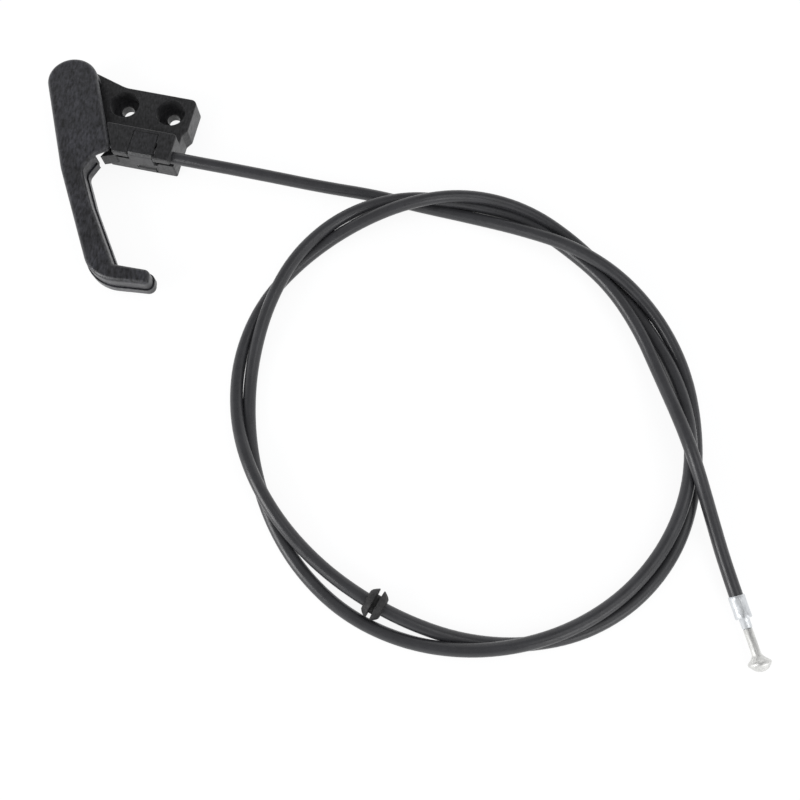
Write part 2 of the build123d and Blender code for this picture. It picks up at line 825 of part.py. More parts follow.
# Crimped ferrule with a slimmer nose
with BuildPart() as end_ferrule:
    with BuildSketch(fitting_plane):
        with BuildLine():
            Polyline(
                (0, conduit_radius),
                (0, ferrule_radius - ferrule_bevel),
                (ferrule_bevel, ferrule_radius),
                (ferrule_length - ferrule_bevel, ferrule_radius),
                (ferrule_length, ferrule_radius - ferrule_bevel),
                (ferrule_length, nose_radius),
                (nose_end - ferrule_bevel, nose_radius),
                (nose_end, nose_radius - ferrule_bevel),
                (nose_end, wire_radius + wire_clearance),
                (crimp_depth, wire_radius + wire_clearance),
                (crimp_depth, conduit_radius),
                close=True,
            )
        make_face()
    revolve(axis=fitting_axis)
end_ferrule.part.label = "end_ferrule"
export_step(end_ferrule.part, "parts/end_ferrule.step")

# Die-cast fitting on the end of the inner wire: plain shank and mushroom head
shank_start = nose_end + seat_gap
head_start = shank_start + shank_length
with BuildPart() as end_fitting:
    with BuildSketch(fitting_plane):
        with BuildLine():
            Polyline(
                (shank_start, 0),
                (shank_start, shank_radius),
                (head_start - mushroom_flare, shank_radius),
                (head_start, shank_radius + mushroom_flare),
                (head_start + mushroom_neck, mushroom_radius - ferrule_bevel),
                (head_start + mushroom_neck + ferrule_bevel, mushroom_radius),
                (head_start + mushroom_neck + mushroom_rim, mushroom_radius),
                (head_start + mushroom_length - mushroom_rim, mushroom_top_radius),
                (head_start + mushroom_length, mushroom_top_radius - ferrule_bevel),
                (head_start + mushroom_length, 0),
                close=True,
            )
        make_face()
    revolve(axis=fitting_axis)
end_fitting.part.label = "end_fitting"
export_step(end_fitting.part, "parts/end_fitting.step")

with BuildPart() as inner_wire_end:
    with BuildSketch(fitting_plane):
        with Locations((shank_start, 0)):
            Rectangle(fitting_wire_length, wire_radius, align=(Align.MAX, Align.MIN))
    revolve(axis=fitting_axis)
inner_wire_end.part.label = "inner_wire_end"
export_step(inner_wire_end.part, "parts/inner_wire_end.step")
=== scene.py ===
import bmesh
import bpy
from math import atan2, cos, pi, radians, sin
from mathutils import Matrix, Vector


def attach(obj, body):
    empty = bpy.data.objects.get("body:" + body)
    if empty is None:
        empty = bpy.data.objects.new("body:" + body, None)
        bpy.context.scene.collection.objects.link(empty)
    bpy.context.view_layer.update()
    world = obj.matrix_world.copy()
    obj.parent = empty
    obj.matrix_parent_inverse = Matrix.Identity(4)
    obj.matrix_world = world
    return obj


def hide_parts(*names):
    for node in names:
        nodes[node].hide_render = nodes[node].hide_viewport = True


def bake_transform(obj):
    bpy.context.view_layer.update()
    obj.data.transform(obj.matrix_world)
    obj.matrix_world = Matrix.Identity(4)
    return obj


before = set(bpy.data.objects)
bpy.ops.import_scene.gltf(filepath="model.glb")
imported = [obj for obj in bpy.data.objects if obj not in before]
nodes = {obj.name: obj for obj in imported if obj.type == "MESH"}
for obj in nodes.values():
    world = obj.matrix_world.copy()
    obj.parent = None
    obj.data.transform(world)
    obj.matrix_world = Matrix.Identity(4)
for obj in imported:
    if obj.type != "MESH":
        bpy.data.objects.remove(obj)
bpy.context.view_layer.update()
mm = 0.001

# Camera
# A small product camera stands over the coil and looks down and back toward the handle. It is
# turned with the picture, in which the row of screws runs slightly downhill to the right.
camera_place = (0.17973, -0.23485, 0.379)
camera_tilt = radians(17.0)
camera_turn = radians(11.85)
camera_data = bpy.data.cameras.new("studio_camera")
camera_data.lens = 38.25
camera_data.sensor_width = 36.0
camera_data.clip_start = 0.01
camera_data.clip_end = 20.0
camera = bpy.data.objects.new("studio_camera", camera_data)
bpy.context.scene.collection.objects.link(camera)
camera.location = camera_place
camera.rotation_euler = (camera_tilt, 0.0, camera_turn)
bpy.context.scene.camera = camera
bpy.context.scene.view_settings.view_transform = "Standard"

# Studio: a white sweep under white light. The sweep takes the soft shadow of the part, and metal
# and polished faces reflect it as plain white.
floor_half = 3.0
floor_drop = 0.1 * mm
floor_mesh = bpy.data.meshes.new("studio_floor")
floor_mesh.from_pydata(
    [
        (-floor_half, -floor_half, -floor_drop),
        (floor_half, -floor_half, -floor_drop),
        (floor_half, floor_half, -floor_drop),
        (-floor_half, floor_half, -floor_drop),
    ],
    [],
    [(0, 1, 2, 3)],
)
floor = bpy.data.objects.new("studio_floor", floor_mesh)
bpy.context.scene.collection.objects.link(floor)


def joined(tree, operation, first, second):
    """Two changing values taken together, such as their product or the larger of them."""
    join = tree.nodes.new("ShaderNodeMath")
    join.operation = operation
    tree.links.new(first, join.inputs[0])
    tree.links.new(second, join.inputs[1])
    return join.outputs[0]


def seen_directly(tree, camera_share):
    """How far a ray shows the plain white backdrop: camera rays in part, mirror rays in full."""
    path = tree.nodes.new("ShaderNodeLightPath")
    camera_part = tree.nodes.new("ShaderNodeMath")
    camera_part.operation = "MULTIPLY"
    camera_part.inputs[1].default_value = camera_share
    tree.links.new(path.outputs["Is Camera Ray"], camera_part.inputs[0])
    mirrors = joined(
        tree, "MAXIMUM", path.outputs["Is Glossy Ray"], path.outputs["Is Transmission Ray"]
    )
    return joined(tree, "MAXIMUM", camera_part.outputs[0], mirrors)


sweep = bpy.data.materials.new("studio_white")
sweep.use_nodes = True
sweep_tree = sweep.node_tree
sweep_tree.nodes.clear()
sweep_paper = sweep_tree.nodes.new("ShaderNodeBsdfDiffuse")
sweep_paper.inputs["Color"].default_value = (0.82, 0.82, 0.82, 1.0)
sweep_glow = sweep_tree.nodes.new("ShaderNodeEmission")
sweep_glow.inputs["Strength"].default_value = 1.04
sweep_mix = sweep_tree.nodes.new("ShaderNodeMixShader")
sweep_out = sweep_tree.nodes.new("ShaderNodeOutputMaterial")
sweep_tree.links.new(seen_directly(sweep_tree, camera_share=0.86), sweep_mix.inputs[0])
sweep_tree.links.new(sweep_paper.outputs[0], sweep_mix.inputs[1])
sweep_tree.links.new(sweep_glow.outputs[0], sweep_mix.inputs[2])
sweep_tree.links.new(sweep_mix.outputs[0], sweep_out.inputs["Surface"])
floor_mesh.materials.append(sweep)

world = bpy.data.worlds.new("studio_world")
bpy.context.scene.world = world
world.use_nodes = True
world_tree = world.node_tree
world_tree.nodes.clear()
room_light = world_tree.nodes.new("ShaderNodeBackground")
room_light.inputs["Color"].default_value = (0.96, 0.97, 1.0, 1.0)
room_light.inputs["Strength"].default_value = 0.80
# The tent round the table is white to the height of the lamps, and its open top is grey. The
# camera sees it white all over.
backdrop = world_tree.nodes.new("ShaderNodeBackground")
backdrop.inputs["Color"].default_value = (1.0, 1.0, 1.0, 1.0)
tent_way = world_tree.nodes.new("ShaderNodeTexCoord")
tent_split = world_tree.nodes.new("ShaderNodeSeparateXYZ")
tent_height = world_tree.nodes.new("ShaderNodeMapRange")
tent_height.inputs["From Min"].default_value = 0.30
tent_height.inputs["From Max"].default_value = 0.70
tent_height.inputs["To Min"].default_value = 1.0
tent_height.inputs["To Max"].default_value = 0.24
world_tree.links.new(tent_way.outputs["Generated"], tent_split.inputs["Vector"])
world_tree.links.new(tent_split.outputs["Z"], tent_height.inputs["Value"])
tent_path = world_tree.nodes.new("ShaderNodeLightPath")
tent_white = joined(
    world_tree, "MAXIMUM", tent_height.outputs["Result"], tent_path.outputs["Is Camera Ray"]
)
world_tree.links.new(tent_white, backdrop.inputs["Strength"])
world_mix = world_tree.nodes.new("ShaderNodeMixShader")
world_out = world_tree.nodes.new("ShaderNodeOutputWorld")
world_tree.links.new(seen_directly(world_tree, camera_share=1.0), world_mix.inputs[0])
world_tree.links.new(room_light.outputs[0], world_mix.inputs[1])
world_tree.links.new(backdrop.outputs[0], world_mix.inputs[2])
world_tree.links.new(world_mix.outputs[0], world_out.inputs["Surface"])


def softbox(name, place, aim, width, height, power):
    """A rectangular studio lamp that faces a point on the part."""
    lamp_data = bpy.data.lights.new(name, "AREA")
    lamp_data.shape = "RECTANGLE"
    lamp_data.size = width
    lamp_data.size_y = height
    lamp_data.energy = power
    lamp = bpy.data.objects.new(name, lamp_data)
    lamp.location = place
    lamp.rotation_euler = (Vector(aim) - Vector(place)).to_track_quat("-Z", "Y").to_euler()
    bpy.context.scene.collection.objects.link(lamp)


softbox(
    "softbox_left",
    place=(-0.40, -0.50, 0.30),
    aim=(0.05, -0.12, 0.0),
    width=0.35,
    height=0.45,
    power=2.8,
)
softbox(
    "softbox_right",
    place=(0.85, -0.60, 0.45),
    aim=(0.05, -0.08, 0.0),
    width=0.5,
    height=0.5,
    power=1.6,
)
softbox(
    "softbox_over",
    place=(0.585, -0.085, 0.745),
    aim=(0.32, -0.18, 0.0),
    width=0.50,
    height=0.50,
    power=0.9,
)

# Conduit: the black jacketed tube of the cable, one piece from the bracket to the far ferrule.
# It drops from the housing to the surface, lies in a loose coil of two turns and a third, and
# runs off over the coil to its fitting. Stiff plastic over wound steel wire, so every bend is wide.
conduit_radius = 3.0 * mm
surface_lift = 3.0
lead_points = [
    (5.6, -25.7, 12.0),
    (36.0, -25.6, 12.0),
    (66.0, -24.8, 10.4),
    (96.0, -22.6, 5.6),
    (122.0, -20.4, 3.0),
    (144.0, -21.9, 3.0),
]
tail_points = [
    (288.8, -126.6, 16.0),
    (302.2, -151.6, 8.0),
    (310.1, -167.7, 4.95),
    (318.3, -184.8, 4.95),
]
coil_centre = (187.4, -126.1)
coil_start_angle = 100.0
coil_step = 15.0
# Distance of each turn from the middle of the coil, every fifteen degrees, clockwise from the top
turn_reach = [
    104.1, 99.5, 99.3, 101.4, 104.5, 105.3, 104.9, 106.3, 108.3, 108.2, 105.7, 101.2,
    96.6, 92.8, 91.2, 92.1, 95.0, 99.2, 104.7, 109.2, 111.6, 111.4, 110.2, 108.6,
    111.9, 111.5, 105.8, 100.5, 98.0, 99.2, 100.6, 102.4, 102.9, 102.6, 101.7, 101.1,
    101.0, 101.0, 100.7, 99.3, 97.9, 97.5, 99.0, 102.5, 106.9, 113.8, 117.5, 114.8,
    110.2, 107.3, 100.2, 95.2, 92.3, 91.4, 94.6,
]
# Where a turn passes over another: its place along the coil, and how high it lifts there
turn_lift = {
    1: 3.6, 2: 7.8, 3: 7.2, 4: 1.8,
    13: 3.6, 14: 4.0, 15: 2.0, 16: 5.8, 17: 7.0, 18: 1.6,
    22: 4.8, 23: 12.4, 24: 8.4, 25: 3.0, 26: 0.4,
    29: 2.6, 30: 5.8, 31: 5.8, 32: 4.0, 33: 3.0, 34: 5.0, 35: 6.6, 36: 4.4, 37: 0.5,
    43: 0.8, 44: 6.6, 45: 6.0, 46: 5.2, 47: 7.0, 48: 2.0,
    50: 0.4, 51: 4.8, 52: 4.4, 53: 4.4, 54: 10.4,
}
# A turn of such a curve runs a little inside its points
curve_inset = cos(radians(coil_step) / 2)


def coil_points():
    """The points of the coil, one every fifteen degrees, on the surface or over another turn."""
    points = []
    for place, reach in enumerate(turn_reach):
        angle = radians(coil_start_angle - coil_step * place)
        points.append(
            (
                coil_centre[0] + reach / curve_inset * cos(angle),
                coil_centre[1] + reach / curve_inset * sin(angle),
                surface_lift + turn_lift.get(place, 0.0),
            )
        )
    return points


conduit_points = lead_points + coil_points() + tail_points
conduit_curve = bpy.data.curves.new("conduit", "CURVE")
conduit_curve.dimensions = "3D"
conduit_curve.resolution_u = 8
conduit_curve.bevel_depth = conduit_radius
conduit_curve.bevel_resolution = 5
conduit_curve.use_fill_caps = True
conduit_spline = conduit_curve.splines.new("NURBS")
conduit_spline.points.add(len(conduit_points) - 1)
for point, place in zip(conduit_spline.points, conduit_points):
    point.co = (place[0] * mm, place[1] * mm, place[2] * mm, 1.0)
conduit_spline.order_u = 3
conduit_spline.use_endpoint_u = True
conduit = bpy.data.objects.new("conduit", conduit_curve)
bpy.context.scene.collection.objects.link(conduit)


def finish_of(name, roughness):
    """A new material with the plain roughness of a finish, its node tree and its shader."""
    finish = bpy.data.materials.new(name)
    finish.use_nodes = True
    shader = finish.node_tree.nodes["Principled BSDF"]
    shader.inputs["Roughness"].default_value = roughness
    return finish, finish.node_tree, shader


def grain(tree, size, detail=2.0, drawn=1.0, heading=0.0):
    """Noise fixed to the piece, with spots of a given size in metres, drawn out along a heading."""
    place = tree.nodes.new("ShaderNodeTexCoord")
    mapping = tree.nodes.new("ShaderNodeMapping")
    mapping.vector_type = "TEXTURE"
    mapping.inputs["Rotation"].default_value = (0.0, 0.0, heading)
    mapping.inputs["Scale"].default_value = (drawn, 1.0, 1.0)
    spots = tree.nodes.new("ShaderNodeTexNoise")
    spots.inputs["Scale"].default_value = 1.0 / size
    spots.inputs["Detail"].default_value = detail
    tree.links.new(place.outputs["Object"], mapping.inputs["Vector"])
    tree.links.new(mapping.outputs["Vector"], spots.inputs["Vector"])
    return spots.outputs["Fac"]


def graded(tree, source, low, high, start=0.3, end=0.7):
    """A source between start and end, carried over to values between low and high."""
    grade = tree.nodes.new("ShaderNodeMapRange")
    grade.inputs["From Min"].default_value = start
    grade.inputs["From Max"].default_value = end
    grade.inputs["To Min"].default_value = low
    grade.inputs["To Max"].default_value = high
    tree.links.new(source, grade.inputs["Value"])
    return grade.outputs["Result"]


def tinted(tree, share, plain, other):
    """A colour that changes from one tint to another with a share."""
    mix = tree.nodes.new("ShaderNodeMix")
    mix.data_type = "RGBA"
    mix.inputs["A"].default_value = (*plain, 1.0)
    mix.inputs["B"].default_value = (*other, 1.0)
    tree.links.new(share, mix.inputs["Factor"])
    return mix.outputs["Result"]


def raised(tree, height, depth, strength, below=None):
    """A surface normal with fine relief of a given depth in metres, over another normal."""
    bump = tree.nodes.new("ShaderNodeBump")
    bump.inputs["Strength"].default_value = strength
    bump.inputs["Distance"].default_value = depth
    tree.links.new(height, bump.inputs["Height"])
    if below is not None:
        tree.links.new(below, bump.inputs["Normal"])
    return bump.outputs["Normal"]


# Extruded jacket: a close satin black, a little cloudy, with a fine drag grain and dull rubs
jacket, jacket_tree, jacket_shader = finish_of("conduit_jacket", 0.32)
jacket_cloud = grain(jacket_tree, 9.0 * mm, detail=3.0)
jacket_colour = tinted(
    jacket_tree,
    graded(jacket_tree, jacket_cloud, 0.0, 1.0),
    (0.026, 0.026, 0.028),
    (0.032, 0.032, 0.035),
)
jacket_tree.links.new(jacket_colour, jacket_shader.inputs["Base Color"])
jacket_rubs = grain(jacket_tree, 2.4 * mm, detail=4.0)
jacket_gloss = graded(jacket_tree, jacket_rubs, low=0.24, high=0.40)
jacket_tree.links.new(jacket_gloss, jacket_shader.inputs["Roughness"])
jacket_waves = grain(jacket_tree, 5.0 * mm, detail=1.0)
jacket_wavy = raised(jacket_tree, jacket_waves, depth=0.10 * mm, strength=0.30)
jacket_grain = grain(jacket_tree, 0.40 * mm, detail=1.0)
jacket_skin = raised(jacket_tree, jacket_grain, depth=0.01 * mm, strength=0.3, below=jacket_wavy)
jacket_tree.links.new(jacket_skin, jacket_shader.inputs["Normal"])
conduit_curve.materials.append(jacket)

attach(conduit, "bracket")
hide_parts("conduit_lead", "conduit_coil", "conduit_tail")

# Bracket: glass-filled nylon, moulded in one piece with its screw wells, arm and cable housing.
# Its skin is a fine spark grain. Its edges are tinted paler, partly as wear and partly as a painted
# highlight, and lose some gloss as painted shade along the seams. Two screws hold it to the panel.


def softened(tree, radius):
    """The normal of edges rounded to a radius, and how near an edge a point lies."""
    bevel = tree.nodes.new("ShaderNodeBevel")
    bevel.samples = 4
    bevel.inputs["Radius"].default_value = radius
    surface = tree.nodes.new("ShaderNodeNewGeometry")
    match = tree.nodes.new("ShaderNodeVectorMath")
    match.operation = "DOT_PRODUCT"
    tree.links.new(bevel.outputs["Normal"], match.inputs[0])
    tree.links.new(surface.outputs["Normal"], match.inputs[1])
    nearness = graded(
        tree, match.outputs["Value"], low=1.0, high=0.0, start=0.80, end=0.995
    )
    return bevel.outputs["Normal"], nearness


# Marks on all the moulded plastic: their sizes, the way they are drawn out, and how far the
# specks darken or lighten the tint
cloud_size = 14.0 * mm
patch_size = 3.5 * mm
# Patches that break up the edge tint, and the width of the rounded edge band that takes it. The
# tint is painted highlight on pale edges, partly wear, and painted shade on dark ones
edge_patch_size = 1.8 * mm
edge_band = 0.45 * mm
drag_heading = radians(-80.0)
dark_speck = (0.20, 0.20, 0.20)
pale_speck = (1.90, 1.90, 1.90)


def moulded(
    name,
    plain,
    cloudy,
    edge_wear_and_painted_light,
    grain_size,
    grain_depth,
    smooth,
    dull,
    edge_gloss=1.0,
    mottle=0.1,
    shine=0.5,
):
    """Moulded plastic: cloudy in its tint, grained all over, and tinted on its edges: paler as wear
    and painted highlight, darker as painted shade.
    """
    finish, tree, shader = finish_of(name, (smooth + dull) / 2)
    shader.inputs["IOR"].default_value = 1.58
    shader.inputs["Sheen Roughness"].default_value = 0.45
    edge_normal, nearness = softened(tree, edge_band)
    cloud = graded(tree, grain(tree, cloud_size, detail=3.0), low=0.0, high=1.0)
    clouds = tinted(tree, cloud, plain, cloudy)
    drag = grain(tree, 2.0 * grain_size, detail=3.0, drawn=2.5, heading=drag_heading)
    speck = graded(tree, drag, low=0.0, high=1.0)
    specks = tinted(tree, speck, dark_speck, pale_speck)
    speckle = tree.nodes.new("ShaderNodeMix")
    speckle.data_type = "RGBA"
    speckle.blend_type = "MULTIPLY"
    speckle.inputs["Factor"].default_value = 1.0
    tree.links.new(clouds, speckle.inputs["A"])
    tree.links.new(specks, speckle.inputs["B"])
    # Edge tint: painted highlight where it is paler than the face, partly wear; painted shade where
    # it is darker
    edge_patches = graded(tree, grain(tree, edge_patch_size, detail=4.0), low=0.25, high=1.0)
    edge_paint_share = joined(tree, "MULTIPLY", nearness, edge_patches)
    edge_painted = tree.nodes.new("ShaderNodeMix")
    edge_painted.data_type = "RGBA"
    edge_painted.inputs["B"].default_value = (*edge_wear_and_painted_light, 1.0)
    tree.links.new(edge_paint_share, edge_painted.inputs["Factor"])
    tree.links.new(speckle.outputs["Result"], edge_painted.inputs["A"])
    tree.links.new(edge_painted.outputs["Result"], shader.inputs["Base Color"])
    # Gloss and sheen drop near the edges as edge_gloss falls below one: painted shade along the
    # seams
    edge_shine = graded(tree, nearness, low=1.0, high=edge_gloss, start=0.0, end=1.0)
    face_shine = graded(tree, drag, low=shine - mottle, high=shine + mottle)
    gloss = joined(tree, "MULTIPLY", edge_shine, face_shine)
    tree.links.new(gloss, shader.inputs["Specular IOR Level"])
    fuzz = graded(tree, nearness, low=0.16, high=0.16 * edge_gloss, start=0.0, end=1.0)
    tree.links.new(fuzz, shader.inputs["Sheen Weight"])
    patches = graded(tree, grain(tree, patch_size, detail=4.0), low=smooth, high=dull)
    tree.links.new(patches, shader.inputs["Roughness"])
    waves = grain(tree, 3.0 * grain_size, detail=3.0)
    ripple = raised(tree, waves, depth=2.0 * grain_depth, strength=0.7, below=edge_normal)
    sparks = grain(tree, grain_size, detail=2.0)
    skin = raised(tree, sparks, depth=grain_depth, strength=0.8, below=ripple)
    tree.links.new(skin, shader.inputs["Normal"])
    return finish


def dress(piece, finish):
    """Give a piece that comes with the frame its finish."""
    for place in piece.material_slots:
        place.material = finish


bracket_nylon = moulded(
    "bracket_nylon",
    plain=(0.005, 0.005, 0.006),
    cloudy=(0.009, 0.009, 0.010),
    edge_wear_and_painted_light=(0.026, 0.026, 0.028),
    grain_size=0.45 * mm,
    grain_depth=0.07 * mm,
    smooth=0.34,
    dull=0.48,
    edge_gloss=0.60,
    mottle=0.10,
    shine=0.42,
)
dress(nodes["bracket"], bracket_nylon)

# Cable clip: a separate folded strip of the same nylon that snaps over the conduit sleeve.
# It comes from another mould, so it is a little smoother than the bracket. Its edges carry painted
# shade: a darker tint and no gloss, for the shade in the gaps of its slot.
clip_nylon = moulded(
    "clip_nylon",
    plain=(0.006, 0.006, 0.007),
    cloudy=(0.009, 0.009, 0.011),
    edge_wear_and_painted_light=(0.002, 0.002, 0.002),
    grain_size=0.35 * mm,
    grain_depth=0.04 * mm,
    smooth=0.36,
    dull=0.50,
    edge_gloss=0.0,
    mottle=0.10,
    shine=0.42,
)
dress(nodes["cable_clip"], clip_nylon)

# End sleeve of the conduit: a zinc-plated steel cup crimped on the jacket, hidden under the clip.
# Plating over drawn steel gives it a bright, slightly mottled surface.


# Marks that all the plated and cast metal has, by size
mottle_size = 0.8 * mm
smear_size = 0.9 * mm
scratch_size = 0.4 * mm
broken_edge = 0.20 * mm


def plated(name, bright, grey, smooth, dull, scratch_depth, heading=0.0):
    """Plated or cast metal: mottled in tint and gloss, with fine scratches along a heading."""
    finish, tree, shader = finish_of(name, (smooth + dull) / 2)
    shader.inputs["Metallic"].default_value = 1.0
    edge_normal = softened(tree, broken_edge)[0]
    spots = grain(tree, mottle_size, detail=4.0, drawn=5.0, heading=heading)
    mottle = graded(tree, spots, low=0.0, high=1.0)
    tree.links.new(tinted(tree, mottle, bright, grey), shader.inputs["Base Color"])
    smears = graded(tree, grain(tree, smear_size, detail=3.0), low=smooth, high=dull)
    tree.links.new(smears, shader.inputs["Roughness"])
    scratches = grain(tree, scratch_size, detail=3.0, drawn=6.0, heading=heading)
    skin = raised(tree, scratches, depth=scratch_depth, strength=0.5, below=edge_normal)
    tree.links.new(skin, shader.inputs["Normal"])
    return finish


sleeve_steel = plated(
    "sleeve_steel",
    bright=(0.78, 0.78, 0.80),
    grey=(0.58, 0.58, 0.60),
    smooth=0.24,
    dull=0.40,
    scratch_depth=0.03 * mm,
)
dress(nodes["conduit_end_sleeve"], sleeve_steel)

# Thrust washer and pivot pin: a thin slip ring of natural acetal under the head of the handle,
# and a headed steel pin that goes in from the back and is pressed into the hub of the handle.
# The washer's edges are tinted paler, partly as wear and partly as a painted highlight.
washer_acetal = moulded(
    "washer_acetal",
    plain=(0.55, 0.54, 0.50),
    cloudy=(0.62, 0.61, 0.57),
    edge_wear_and_painted_light=(0.70, 0.69, 0.66),
    grain_size=0.25 * mm,
    grain_depth=0.02 * mm,
    smooth=0.28,
    dull=0.42,
)
dress(nodes["thrust_washer"], washer_acetal)
pin_steel = plated(
    "pin_steel",
    bright=(0.66, 0.66, 0.68),
    grey=(0.48, 0.48, 0.50),
    smooth=0.22,
    dull=0.38,
    scratch_depth=0.03 * mm,
)
dress(nodes["pivot_pin"], pin_steel)

# Handle: the J-shaped pull lever, an open-backed shell of the same glass-filled nylon.
# Its face has a satin grain polished by hands. Its stepped rim has its edges tinted much paler,
# partly as wear and partly as a painted highlight.
handle_nylon = moulded(
    "handle_nylon",
    plain=(0.006, 0.006, 0.008),
    cloudy=(0.017, 0.017, 0.022),
    edge_wear_and_painted_light=(0.090, 0.090, 0.096),
    grain_size=0.55 * mm,
    grain_depth=0.09 * mm,
    smooth=0.32,
    dull=0.50,
    edge_gloss=1.0,
    mottle=0.14,
)
dress(nodes["handle"], handle_nylon)

# Inner wire at the lever: six galvanised strands twisted together, with a barrel nipple cast on.
# The nipple stands in its boss in the handle.
wire_radius = 0.9 * mm
wire_lay = 9.0 * mm
strand_count = 6
strand_radius = 0.34 * mm
strand_sides = 8
stations_per_lay = 16
fewest_stations = 8


def twisted_wire(name, start, end):
    """Six strands wound round each other between two points, as one mesh."""
    start = Vector(start)
    end = Vector(end)
    along = (end - start).normalized()
    across = along.orthogonal().normalized()
    third = along.cross(across)
    length = (end - start).length
    stations = max(fewest_stations, int(length / wire_lay * stations_per_lay))
    sides = strand_sides
    orbit = wire_radius - strand_radius
    points = []
    faces = []
    for strand in range(strand_count):
        first = len(points)
        for station in range(stations + 1):
            run = length * station / stations
            turn = 2 * pi * (run / wire_lay + strand / strand_count)
            outward = across * cos(turn) + third * sin(turn)
            middle = start + along * run + outward * orbit
            slope = (along * wire_lay + along.cross(outward) * 2 * pi * orbit).normalized()
            sideways = slope.cross(outward)
            for side in range(sides):
                angle = 2 * pi * side / sides
                points.append(
                    middle + (outward * cos(angle) + sideways * sin(angle)) * strand_radius
                )
        for station in range(stations):
            for side in range(sides):
                low = first + station * sides + side
                next_low = first + station * sides + (side + 1) % sides
                faces.append((low, next_low, next_low + sides, low + sides))
        last = first + stations * sides
        faces.append(tuple(first + side for side in reversed(range(sides))))
        faces.append(tuple(last + side for side in range(sides)))
    mesh = bpy.data.meshes.new(name)
    mesh.from_pydata([tuple(point) for point in points], [], faces)
    mesh.update()
    mesh.polygons.foreach_set("use_smooth", [len(face) == 4 for face in faces])
    wire = bpy.data.objects.new(name, mesh)
    bpy.context.scene.collection.objects.link(wire)
    return wire


wire_steel = plated(
    "wire_steel",
    bright=(0.60, 0.60, 0.62),
    grey=(0.40, 0.40, 0.42),
    smooth=0.28,
    dull=0.42,
    scratch_depth=0.02 * mm,
)
lever_wire = twisted_wire(
    "lever_wire", (5.6 * mm, -25.7 * mm, 12.0 * mm), (-21.6 * mm, -25.7 * mm, 12.0 * mm)
)
lever_wire.data.materials.append(wire_steel)
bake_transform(lever_wire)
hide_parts("inner_wire_lever")
nipple_zinc = plated(
    "nipple_zinc",
    bright=(0.70, 0.70, 0.72),
    grey=(0.52, 0.52, 0.54),
    smooth=0.30,
    dull=0.48,
    scratch_depth=0.04 * mm,
)
dress(nodes["lever_nipple"], nipple_zinc)

# Grommet: a soft black rubber plug, split along one side so that it clips over the conduit.
# Its groove seats in the edge of a sheet-metal hole, and its two lobes are domed.
grommet_middle = (164.6 * mm, -214.9 * mm)
grommet_heading = radians(162.4)
grommet_radius = 6.9 * mm
grommet_slit = radians(7.0)
grommet_slit_at = radians(-70.0)
grommet_half = 4.25
grommet_bore = 3.05
lobe_shoulder = 4.4
lobe_rise = 2.5
lobe_run = 3.0
lobe_steps = 8
lobe_fullness = 0.7
round_segments = 72
weld_distance = 0.001 * mm


def turned(name, profile, origin, heading, segments, gap=0.0, gap_at=0.0):
    """A piece turned from a profile of (along, radius) about a level axis, with a slit if asked."""
    along = Vector((cos(heading), sin(heading), 0.0))
    across = Vector((-sin(heading), cos(heading), 0.0))
    up = Vector((0.0, 0.0, 1.0))
    count = len(profile)
    whole = gap == 0.0
    stations = segments if whole else segments + 1
    points = []
    for station in range(stations):
        angle = gap_at + gap / 2 + (2 * pi - gap) * station / segments
        outward = across * cos(angle) + up * sin(angle)
        for run, radius in profile:
            points.append(tuple(Vector(origin) + along * run + outward * radius))
    faces = []
    for station in range(segments):
        this = station * count
        following = ((station + 1) % stations) * count
        for place in range(count):
            ahead = (place + 1) % count
            faces.append((this + place, this + ahead, following + ahead, following + place))
    if not whole:
        faces.append(tuple(range(count)))
        faces.append(tuple(segments * count + place for place in reversed(range(count))))
    mesh = bpy.data.meshes.new(name)
    mesh.from_pydata(points, [], faces)
    mesh.update()
    tidy = bmesh.new()
    tidy.from_mesh(mesh)
    bmesh.ops.remove_doubles(tidy, verts=tidy.verts, dist=weld_distance)
    bmesh.ops.recalc_face_normals(tidy, faces=tidy.faces)
    for face in tidy.faces:
        face.smooth = True
    tidy.to_mesh(mesh)
    tidy.free()
    piece = bpy.data.objects.new(name, mesh)
    bpy.context.scene.collection.objects.link(piece)
    return piece


# One lobe from its end to the groove, as (along, radius) in millimetres
grommet_lobe = [(-grommet_half, grommet_bore), (-grommet_half, lobe_shoulder)]
for step in range(1, lobe_steps):
    rise = sin(radians(90.0) * step / lobe_steps)
    grommet_lobe.append(
        (-grommet_half + lobe_run * rise, lobe_shoulder + lobe_rise * rise**lobe_fullness)
    )
grommet_lobe += [(-1.15, 6.9), (-1.0, 6.75)]
grommet_groove = [(-1.0, 4.5), (-0.8, 4.3), (0.8, 4.3), (1.0, 4.5)]
other_lobe = [(-along, reach) for along, reach in reversed(grommet_lobe)]
grommet_profile = grommet_lobe + grommet_groove + other_lobe
rubber_grommet = turned(
    "rubber_grommet",
    [(along * mm, reach * mm) for along, reach in grommet_profile],
    (*grommet_middle, grommet_radius),
    grommet_heading,
    round_segments,
    gap=grommet_slit,
    gap_at=grommet_slit_at,
)
rubber, rubber_tree, rubber_shader = finish_of("grommet_rubber", 0.62)
rubber_shader.inputs["Specular IOR Level"].default_value = 0.40
rubber_bloom = graded(rubber_tree, grain(rubber_tree, 2.2 * mm, detail=4.0), low=0.0, high=1.0)
rubber_tree.links.new(
    tinted(rubber_tree, rubber_bloom, (0.011, 0.011, 0.012), (0.024, 0.023, 0.023)),
    rubber_shader.inputs["Base Color"],
)
rubber_smears = grain(rubber_tree, 1.2 * mm, detail=3.0)
rubber_tree.links.new(
    graded(rubber_tree, rubber_smears, low=0.50, high=0.74), rubber_shader.inputs["Roughness"]
)
rubber_edge = softened(rubber_tree, 0.30 * mm)[0]
rubber_grain = grain(rubber_tree, 0.5 * mm, detail=3.0)
rubber_skin = raised(rubber_tree, rubber_grain, depth=0.05 * mm, strength=0.5, below=rubber_edge)
rubber_tree.links.new(rubber_skin, rubber_shader.inputs["Normal"])
rubber_grommet.data.materials.append(rubber)
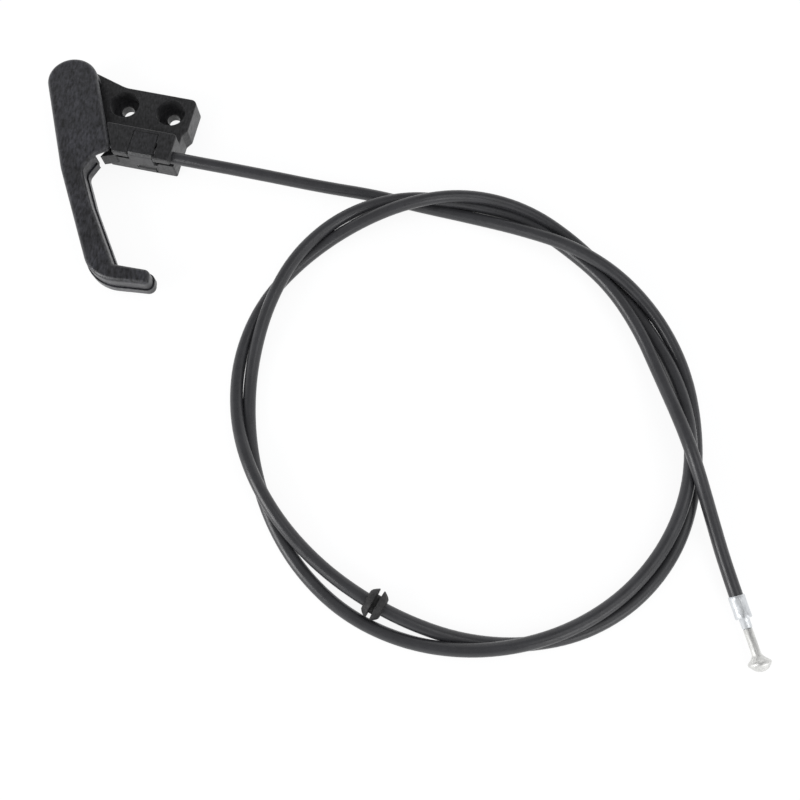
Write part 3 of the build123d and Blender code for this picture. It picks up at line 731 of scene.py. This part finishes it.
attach(rubber_grommet, "bracket")
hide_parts("grommet")

# Far ferrule: a zinc-plated steel cap with a slimmer nose, pressed on the end of the jacket.
# Six flats of the crimping tool grip the jacket.
fitting_place = (315.7, -179.4, 4.95)
fitting_heading = radians(-64.46)
# Outside, then back through the bore, as (along, radius) in millimetres
ferrule_profile = [
    (0.0, 3.02),
    (0.0, 3.35),
    (0.2, 3.55),
    (1.6, 3.55),
    (2.2, 3.42),
    (7.2, 3.42),
    (7.8, 3.55),
    (9.4, 3.55),
    (9.7, 3.25),
    (9.7, 2.3),
    (9.8, 2.15),
    (13.6, 2.15),
    (13.9, 1.9),
    (13.9, 1.15),
    (6.0, 1.15),
    (6.0, 3.02),
]
end_cap = turned(
    "end_cap",
    [(run * mm, radius * mm) for run, radius in ferrule_profile],
    [value * mm for value in fitting_place],
    fitting_heading,
    round_segments,
)
cap_way = Vector((cos(fitting_heading), sin(fitting_heading), 0.0))
cap_start = Vector(fitting_place) * mm
crimp_from = 2.0 * mm
crimp_to = 7.4 * mm
crimp_bore = 3.2 * mm
crimp_flat = 3.22 * mm
crimp_corner = 3.50 * mm
half_flat = pi / 6
for vertex in end_cap.data.vertices:
    offset = vertex.co - cap_start
    run = offset.dot(cap_way)
    reach = offset - cap_way * run
    if crimp_from < run < crimp_to and reach.length > crimp_bore:
        turn = atan2(reach.z, reach.dot(Vector((-cap_way.y, cap_way.x, 0.0))))
        face_angle = (turn + half_flat) % (2 * half_flat) - half_flat
        flat = min(crimp_corner, crimp_flat / cos(face_angle))
        vertex.co = cap_start + cap_way * run + reach.normalized() * flat
cap_zinc = plated(
    "cap_zinc",
    bright=(0.80, 0.82, 0.84),
    grey=(0.62, 0.64, 0.66),
    smooth=0.42,
    dull=0.58,
    scratch_depth=0.05 * mm,
    heading=fitting_heading,
)
end_cap.data.materials.append(cap_zinc)
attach(end_cap, "bracket")
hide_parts("end_ferrule")

# Far fitting: zinc cast on the end of the inner wire, a round shank with a mushroom head.
# The latch of the hood hooks behind the head. It slides out of the ferrule with the wire.
shank_start = 14.0
shank_end = 25.6
button_segments = 64
wire_depth = 9.9
# From the root of the shank to the crown of the head, as (along, radius) in millimetres
button_profile = [(shank_start, 0.0), (shank_start, 1.7), (shank_start + 0.25, 1.95)]
button_profile += [(shank_end - 0.8, 1.95), (shank_end + 0.1, 2.35), (shank_end + 1.0, 3.1)]
button_profile += [(shank_end + 1.9, 4.2), (shank_end + 2.4, 4.75), (shank_end + 2.9, 4.9)]
button_profile += [(shank_end + 3.4, 4.85), (shank_end + 4.0, 4.4), (shank_end + 4.9, 3.5)]
button_profile += [(shank_end + 5.7, 2.6), (shank_end + 6.2, 1.5), (shank_end + 6.4, 0.0)]
latch_button = turned(
    "latch_button",
    [(run * mm, radius * mm) for run, radius in button_profile],
    [value * mm for value in fitting_place],
    fitting_heading,
    button_segments,
)
button_zinc = plated(
    "button_zinc",
    bright=(0.84, 0.84, 0.82),
    grey=(0.62, 0.62, 0.61),
    smooth=0.42,
    dull=0.58,
    scratch_depth=0.06 * mm,
    heading=fitting_heading,
)
latch_button.data.materials.append(button_zinc)
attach(latch_button, "cable_end")
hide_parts("end_fitting")

far_wire_start = cap_start + cap_way * (-wire_depth * mm)
far_wire_end = cap_start + cap_way * (shank_start * mm)
far_wire = twisted_wire("far_wire", far_wire_start, far_wire_end)
far_wire.data.materials.append(wire_steel)
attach(far_wire, "cable_end")
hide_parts("inner_wire_end")
